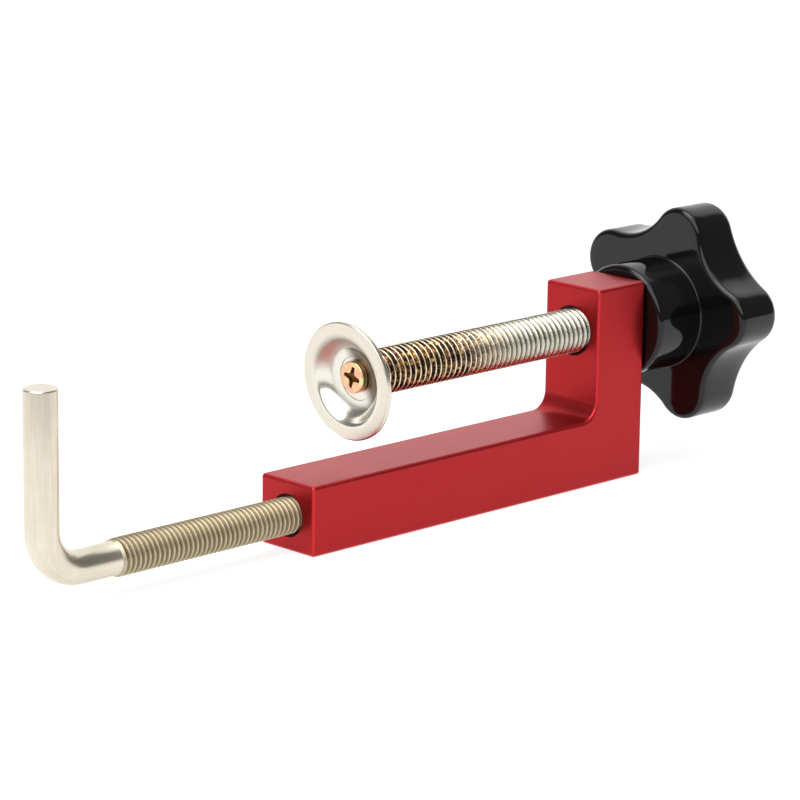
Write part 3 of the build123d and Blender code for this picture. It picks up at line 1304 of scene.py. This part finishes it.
@dataclass
class Pad:
    """Pressed dish that hangs loose and leaning on the spindle's end."""

    sheet: float = 1.2 * MM
    flange: float = 12.7 * MM
    lip: float = 9.3 * MM
    floor: float = 7.0 * MM
    depth: float = 3.1 * MM
    bend: float = 1.3 * MM
    hollow: float = 4.3 * MM
    rim_round: float = 0.35 * MM
    seat: float = 4.7 * MM
    seat_depth: float = 0.22 * MM
    hole: float = 2.35 * MM
    lean: float = np.radians(4.291)
    centre: Triple = (-33.7173 * MM, 0.0, 33.1719 * MM)
    columns: int = 160

    def section(self) -> np.ndarray:
        """Gives the sheet's section, all the way round.

        Returns:
            Points as depth behind the ring's face, and radius.
        """
        front = np.array([(self.depth, 0), (self.depth, self.floor), (0, self.lip), (0, self.flange)])
        back = offset_line(front, -self.sheet)
        seat_floor = self.depth + self.seat_depth
        corners = np.array(
            [
                (seat_floor, self.hole),
                (seat_floor, self.seat),
                (self.depth, self.seat + self.seat_depth / 3),
                front[1],
                front[2],
                front[3],
                back[3],
                back[2],
                back[1],
                (back[0, 0], self.hole),
            ]
        )
        edge = self.seat_depth / 4
        outside = [self.hollow, self.bend, self.rim_round, self.rim_round, 0, self.hollow + self.sheet, edge]
        radii = [edge, edge, edge, *outside]
        return rounded_line(corners, radii, 8, closed=True)

    def build(self) -> bpy.types.Object:
        """Builds the pad.

        The section turns round the pad's own axis, which is then leaned: the axis' direction is the
        lean's cosine towards +X and its sine towards +Z.

        Returns:
            The pad's object.
        """
        surface = Surface()
        section = self.section()
        section = np.vstack([section, section[:1]])
        depth, radius = section[:, :1], section[:, 1:]
        angle = even_angles(self.columns)
        up = radius * np.sin(angle)
        x = self.centre[0] + depth * np.cos(self.lean) - up * np.sin(self.lean)
        y = self.centre[1] + radius * np.cos(angle)
        z = self.centre[2] + depth * np.sin(self.lean) + up * np.cos(self.lean)
        surface.add_grid(np.stack(np.broadcast_arrays(x, y, z), axis=-1))
        return surface.build("dished_pad", Crease.ROLLED)


@dataclass
class PadScrew:
    """Small screw with a cross recess that holds the pad."""

    spindle: Spindle
    box: Box = field(default_factory=lambda: Box.of("pad_screw"))
    thread: Thread = field(default_factory=lambda: Thread(0.7 * MM, columns=128))
    head_height: float = 1.3 * MM
    head_round: float = 0.25 * MM
    shank: float = 1.95 * MM
    neck: float = 2.0 * MM
    thread_height: float = 0.43 * MM
    wing: float = 2.3 * MM
    wing_tip: float = 0.4 * MM
    wing_flare: float = 0.75 * MM
    recess_depth: float = 1.15 * MM
    recess_rise: float = 0.45
    recess_wall: float = 0.12 * MM
    recess_turn: float = np.radians(11)
    face_rows: int = 72

    @property
    def head(self) -> float:
        """Radius of the head."""
        return self.box.size[1] / 2

    def recess(self, radius: np.ndarray, angle: np.ndarray) -> np.ndarray:
        """Gives the depth of the cross recess at a place on the head.

        A wing's half width grows from its tip to the middle by the square of the way in. The way in
        from a wing's nearest side, over the wall's width, opens the recess, and its floor rises from
        the middle to the wing's tip.

        Args:
            radius: distances from the head's middle.
            angle: angles round it.

        Returns:
            The depths.
        """
        along = np.abs(radius * np.cos(angle - self.recess_turn))
        across = np.abs(radius * np.sin(angle - self.recess_turn))
        level_half = self.wing_tip + self.wing_flare * np.clip(1 - along / self.wing, 0, 1) ** 2
        upright_half = self.wing_tip + self.wing_flare * np.clip(1 - across / self.wing, 0, 1) ** 2
        level = np.minimum(self.wing - along, level_half - across)
        upright = np.minimum(self.wing - across, upright_half - along)
        inside = np.maximum(level, upright)
        floor = self.recess_depth * (1 - self.recess_rise * radius / self.wing)
        return floor * smooth_step(inside, 0, self.recess_wall)

    def radius(self, x: np.ndarray, height: np.ndarray) -> np.ndarray:
        """Radius of the threaded shank, whose grooves deepen over half the neck's length.

        Args:
            x: places along the screw.
            height: share of the thread's height.

        Returns:
            The radii.
        """
        under = self.box.low[0] + self.head_height
        fade = smooth_step(x, under + self.neck, under + self.neck * 1.5)
        return self.shank - self.thread_height * (1 - height) * fade

    def build(self) -> bpy.types.Object:
        """Builds the pad's screw.

        Returns:
            The pad screw's object.
        """
        surface = Surface()
        axis = self.spindle.axis
        face, end = self.box.low[0], self.box.high[0]
        under = face + self.head_height
        angle = self.thread.angles[None, :]
        flat = self.head - self.head_round
        radii = np.linspace(0, flat, self.face_rows)[:, None]
        surface.add_grid(axis.points(face + self.recess(radii, angle), radii, angle))
        edge = np.array([(face, flat), (face, self.head), (under, self.head), (under, self.shank)])
        edge = rounded_line(edge, [0, self.head_round * 0.98, self.head_round / 3, 0], 6)
        start = under + self.neck
        edge = np.vstack([edge, [(start, self.shank)]])
        surface.add_grid(axis.revolve(edge, angle[0]))
        surface.add_grid(self.thread.sleeve(axis, start, end, self.radius), self.thread.climb)
        surface.add_grid(self.thread.end_disc(axis, start, end, self.radius))
        return surface.build("cross_screw", Crease.ROLLED)


@dataclass
class Knob:
    """Five-lobed star knob with a round hub."""

    spindle: Spindle
    box: Box = field(default_factory=lambda: Box.of("star_knob"))
    bush: Box = field(default_factory=lambda: Box.of("knob_bush"))
    hub: float = 12.5 * MM
    hub_length: float = 13.35 * MM
    hub_edge: float = 1.2 * MM
    hub_root: float = 0.4 * MM
    pocket_edge: float = 0.1 * MM
    lobes: int = 5
    star: float = 24.9 * MM
    lobe: float = 6.8 * MM
    waist_depth: float = 6.3 * MM
    draft: float = 0.7 * MM
    turn: float = np.radians(32.3)
    crown: float = 1.0 * MM
    front_round: float = 1.2 * MM
    back_round: float = 2.4 * MM
    moulding_gap: float = 0.02 * MM
    lobe_steps: int = 24
    waist_steps: int = 14

    def outline(self, inset: float, waist_depth: float) -> np.ndarray:
        """Gives the star's outline, drawn in by the inset.

        Round lobes and round waists touch where the line between their centres meets them. A point
        of a lobe is its centre plus the lobe's radius less the inset, and one of a waist its centre
        plus the waist's radius and the inset, in the direction of an angle in even steps.

        Args:
            inset: distance inside the full outline.
            waist_depth: how far the waists lie inside the lobes' tips.

        Returns:
            Points as y and z from the knob's axis.
        """
        step = TURN / self.lobes
        lobe_centre = self.star - self.lobe
        bottom = self.star - waist_depth
        along = lobe_centre * np.cos(step / 2)
        waist = self.lobe**2 - lobe_centre**2 - bottom**2 + 2 * along * bottom
        waist /= 2 * (bottom - along - self.lobe)
        waist_centre = bottom + waist
        joint = np.arctan2(
            waist_centre * np.sin(step / 2), waist_centre * np.cos(step / 2) - lobe_centre
        )
        lobe_way = np.linspace(-joint, joint, self.lobe_steps, endpoint=False)
        waist_way = np.linspace(joint, step - joint, self.waist_steps, endpoint=False) + TURN / 2
        lobe = lobe_centre + (self.lobe - inset) * np.exp(1j * lobe_way)
        dip = waist_centre * np.exp(0.5j * step) + (waist + inset) * np.exp(1j * waist_way)
        one = np.concatenate([lobe, dip])
        around = np.exp(1j * (np.arange(self.lobes) * step + self.turn))
        star = (around[:, None] * one[None, :]).ravel()
        return np.stack([star.real, star.imag], axis=1)

    def row(self, x: float | np.ndarray, flat: np.ndarray) -> np.ndarray:
        """Places an outline at x on the knob's axis."""
        axis = self.spindle.axis
        return np.stack(np.broadcast_arrays(x, axis.y + flat[:, 0], axis.z + flat[:, 1]), axis=-1)

    def domed(self, flat: np.ndarray) -> np.ndarray:
        """Gives x of the back, which falls by the crown times the squared share of the radius."""
        return self.box.high[0] - self.crown * np.sum(flat**2, axis=1) / self.star**2

    def star_rows(self, front_x: float) -> list[np.ndarray]:
        """Gives the star's rows, from the front face's edge round to the middle of its back.

        Args:
            front_x: place of the front face.

        Returns:
            Rows of points.
        """
        rows = []
        back_wall = self.box.high[0] - self.crown - self.back_round
        for angle in np.linspace(0, TURN / 4, 7):
            inset = self.front_round * (1 - np.sin(angle))
            x = front_x + self.front_round * (1 - np.cos(angle))
            rows.append(self.row(x, self.outline(inset, self.waist_depth)))
        for share in np.linspace(0, 1, 5)[1:-1]:
            x = front_x + self.front_round + share * (back_wall - front_x - self.front_round)
            rows.append(self.row(x, self.outline(0, self.waist_depth - self.draft * share)))
        for angle in np.linspace(0, TURN / 4, 10):
            flat = self.outline(self.back_round * (1 - np.cos(angle)), self.waist_depth - self.draft)
            rows.append(self.row(self.domed(flat) - self.back_round * (1 - np.sin(angle)), flat))
        for share in np.linspace(1, 0, 14)[1:]:
            rows.append(self.row(self.domed(flat * share), flat * share))
        return rows

    def build(self) -> bpy.types.Object:
        """Builds the knob, from the pocket for its bush over the hub and the star to its back.

        Returns:
            The knob's object.
        """
        surface = Surface()
        front, star_x = self.box.low[0], self.box.low[0] + self.hub_length
        rim = self.outline(self.front_round, self.waist_depth)
        angle = np.arctan2(rim[:, 1], rim[:, 0])
        pocket = self.bush.size[1] / 2 + self.moulding_gap
        pocket_end = self.bush.high[0] + self.moulding_gap
        hub = np.array(
            [
                (pocket_end, 0),
                (pocket_end, pocket),
                (front, pocket),
                (front, self.hub),
                (star_x, self.hub),
                (star_x, self.hub + self.hub_root * 3),
            ]
        )
        hub = rounded_line(hub, [0, 0, self.pocket_edge, self.hub_edge, self.hub_root, 0], 7)
        rows = list(self.spindle.axis.revolve(hub, angle))
        inner = rows[-1]
        edge = self.row(star_x, rim)
        rows += [inner + (edge - inner) * share for share in np.linspace(0, 1, 6)[1:-1]]
        rows += self.star_rows(star_x)
        surface.add_grid(np.stack(rows))
        return surface.build("star_knob_moulding", Crease.MACHINED)


@dataclass
class Studio:
    """Pale floor, soft light and the camera."""

    azimuth: float = -44.606
    elevation: float = 13.863
    roll: float = 0.724
    focal_pixels: float = 3693.489
    picture_width: int = 800
    sensor: float = 36.0
    nearest: float = 10 * MM
    origin_from_camera: Triple = (-17.763 * MM, 32.463 * MM, 756.853 * MM)
    bar_corner: Triple = (-50.0 * MM, -8.0 * MM, 0.0)
    floor_reach: float = 3.0
    floor_gap: float = 0.02 * MM
    floor_albedo: float = 0.35
    floor_glow: float = 0.78
    ceiling: float = 1.15
    ceiling_from: tuple[float, float] = (0.8, 0.92)
    card: float = 2.6
    card_heading: float = -28.0
    card_from: tuple[float, float] = (0.55, 0.78)
    card_rise: tuple[float, float] = (0.2, 0.34)
    backdrop: float = 1.2
    backdrop_heading: float = 180.0
    backdrop_from: tuple[float, float] = (0.5, 0.75)
    room: float = 0.2
    lamp_width: float = 0.9
    lamp_power: float = 6.0
    lamp_place: Triple = (-0.45, 0.1, 1.2)

    def axes(self) -> tuple[Vector, Vector, Vector]:
        """Gives the camera's directions.

        Returns:
            Right, up and backward.
        """
        a, e, r = np.radians([self.azimuth, self.elevation, self.roll])
        back = Vector((np.sin(a) * np.cos(e), -np.cos(a) * np.cos(e), np.sin(e)))
        level = Vector((0, 0, 1)).cross(back).normalized()
        upright = back.cross(level)
        right = level * np.cos(r) + upright * np.sin(r)
        up = upright * np.cos(r) - level * np.sin(r)
        return right, up, back

    def heading(self, degrees: float) -> Vector:
        """Gives the level direction at an angle to the way back to the camera.

        Args:
            degrees: angle from the way back, seen from above against the clock.

        Returns:
            The direction.
        """
        back = self.axes()[2]
        level_back = Vector((back.x, back.y, 0)).normalized()
        angle = np.radians(degrees)
        return level_back * np.cos(angle) + Vector((-level_back.y, level_back.x, 0)) * np.sin(angle)

    def set_camera(self) -> None:
        """Sets the camera at the photograph's view.

        The bar's lower front corner lies at a known place in the camera's own right, down and
        forward directions, so the camera stands at that corner less the same way.
        """
        right, up, back = self.axes()
        across, down, forward = self.origin_from_camera
        place = Vector(self.bar_corner) - right * across + up * down + back * forward
        data = bpy.data.cameras.new("photograph_view")
        data.sensor_width = self.sensor
        data.lens = self.focal_pixels / self.picture_width * self.sensor
        data.clip_start = self.nearest
        camera = bpy.data.objects.new("photograph_view", data)
        turned = Matrix((right, up, back)).transposed().to_4x4()
        camera.matrix_world = Matrix.Translation(place) @ turned
        bpy.context.scene.collection.objects.link(camera)
        bpy.context.scene.camera = camera

    def add_floor(self) -> None:
        """Adds the floor just under the bar."""
        signs = np.array([(-1, -1), (1, -1), (1, 1), (-1, 1)])
        corners = np.column_stack([signs * self.floor_reach, np.full(4, -self.floor_gap)])
        mesh = bpy.data.meshes.new("floor")
        mesh.from_pydata(corners.tolist(), [], [(0, 1, 2, 3)])
        floor = bpy.data.objects.new("floor", mesh)
        bpy.context.scene.collection.objects.link(floor)
        board = Finish("pale_floor")
        grey = (self.floor_albedo,) * 3
        glow = {"emission_color": (1.0, 1.0, 1.0), "emission_strength": self.floor_glow}
        mesh.materials.append(board.set(base_color=grey, roughness=0.9, specular_ior_level=0.0, **glow))

    def add_light(self) -> None:
        """Lights the scene by a bright ceiling, a pale backdrop and a dark room behind the camera.

        The camera itself sees plain white behind the floor.
        """
        world = bpy.data.worlds.new("studio")
        world.use_nodes = True
        bpy.context.scene.world = world
        board = Board(world.node_tree)
        way = board.node("ShaderNodeTexCoord", {}, {}, "Generated")
        level = board.vectors("NORMALIZE", board.vectors("MULTIPLY", way, (1, 1, 0)))
        away, beside = (
            board.vectors("DOT_PRODUCT", level, self.heading(degrees), output="Value")
            for degrees in (self.backdrop_heading, self.card_heading)
        )
        rise = board.part(way, "Z")
        backdrop = away.step(*self.backdrop_from)
        card = beside.step(*self.card_from) * rise.step(*self.card_rise)
        ceiling = rise.step(*self.ceiling_from)
        brightness = self.room + backdrop * (self.backdrop - self.room)
        brightness = brightness + ceiling * (self.ceiling - brightness)
        brightness = brightness + card * (self.card - brightness)
        seen = board.node("ShaderNodeLightPath", {}, {}, "Is Camera Ray")
        brightness = brightness + seen * (1 - brightness)
        background = world.node_tree.nodes["Background"]
        background.inputs["Color"].default_value = (1, 1, 1, 1)
        board.feed(background.inputs["Strength"], brightness)
        lamp_data = bpy.data.lights.new("soft_lamp", "AREA")
        lamp_data.shape = "DISK"
        lamp_data.size = self.lamp_width
        lamp_data.energy = self.lamp_power
        lamp = bpy.data.objects.new("soft_lamp", lamp_data)
        place = Vector(self.lamp_place)
        facing = place.to_track_quat("Z", "Y").to_matrix().to_4x4()
        lamp.matrix_world = Matrix.Translation(place) @ facing
        bpy.context.scene.collection.objects.link(lamp)

    def build(self) -> None:
        """Sets up everything that isn't the clamp."""
        self.set_camera()
        self.add_floor()
        self.add_light()
        bpy.context.scene.view_settings.view_transform = "Standard"


def main() -> None:
    """Builds the studio and the clamp's pieces."""
    logging.basicConfig(level=logging.INFO, format="%(message)s")
    Studio().build()
    rod, spindle = HookRod(), Spindle()

    bar_maker = Bar()
    bar = bar_maker.build(rod.axis, rod.crest, spindle.axis, spindle.crest)
    past_bar = bar_maker.box.high[0] + AnodisedRed.end_fade
    ends = ((rod, bar_maker.rod_hole_end), (spindle, past_bar))
    holes = tuple((made.axis, made.crest + Bore.mouth, end) for made, end in ends)
    dress(bar, AnodisedRed(holes).make())
    seat(bar, Body.FRAME, "clamp_body")

    hook = rod.build()
    past_arm = rod.box.low[0] + rod.shank * 2
    nickel = WarmNickel(rod.axis, rod.root, rod.crest, rod.thread_start, past_arm)
    dress(hook, nickel.make())
    seat(hook, Body.HOOK, "hook_rod")

    screw = spindle.build()
    dress(screw, StainedZinc(spindle.axis, spindle.root, spindle.crest).make())
    seat(screw, Body.SCREW, "clamp_screw")

    pad_maker = Pad()
    pad = pad_maker.build()
    bright = BrightNickel(pad_maker.centre, pad_maker.lean, pad_maker.floor, pad_maker.lip)
    dress(pad, bright.make())
    seat(pad, Body.PAD, "pressure_pad")

    cross = PadScrew(spindle)
    cross_piece = cross.build()
    yellow = YellowZinc(spindle.axis, cross.box.low[0], cross.wing)
    dress(cross_piece, yellow.make())
    seat(cross_piece, Body.SCREW, "pad_screw")

    knob = Knob(spindle).build()
    dress(knob, GlossBlack().make())
    seat(knob, Body.SCREW, "star_knob")

    dress(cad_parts["knob_bush"], TurnedBrass().make())
    log.info("knob_bush: kept from the solids")


if __name__ == "__main__":
    main()
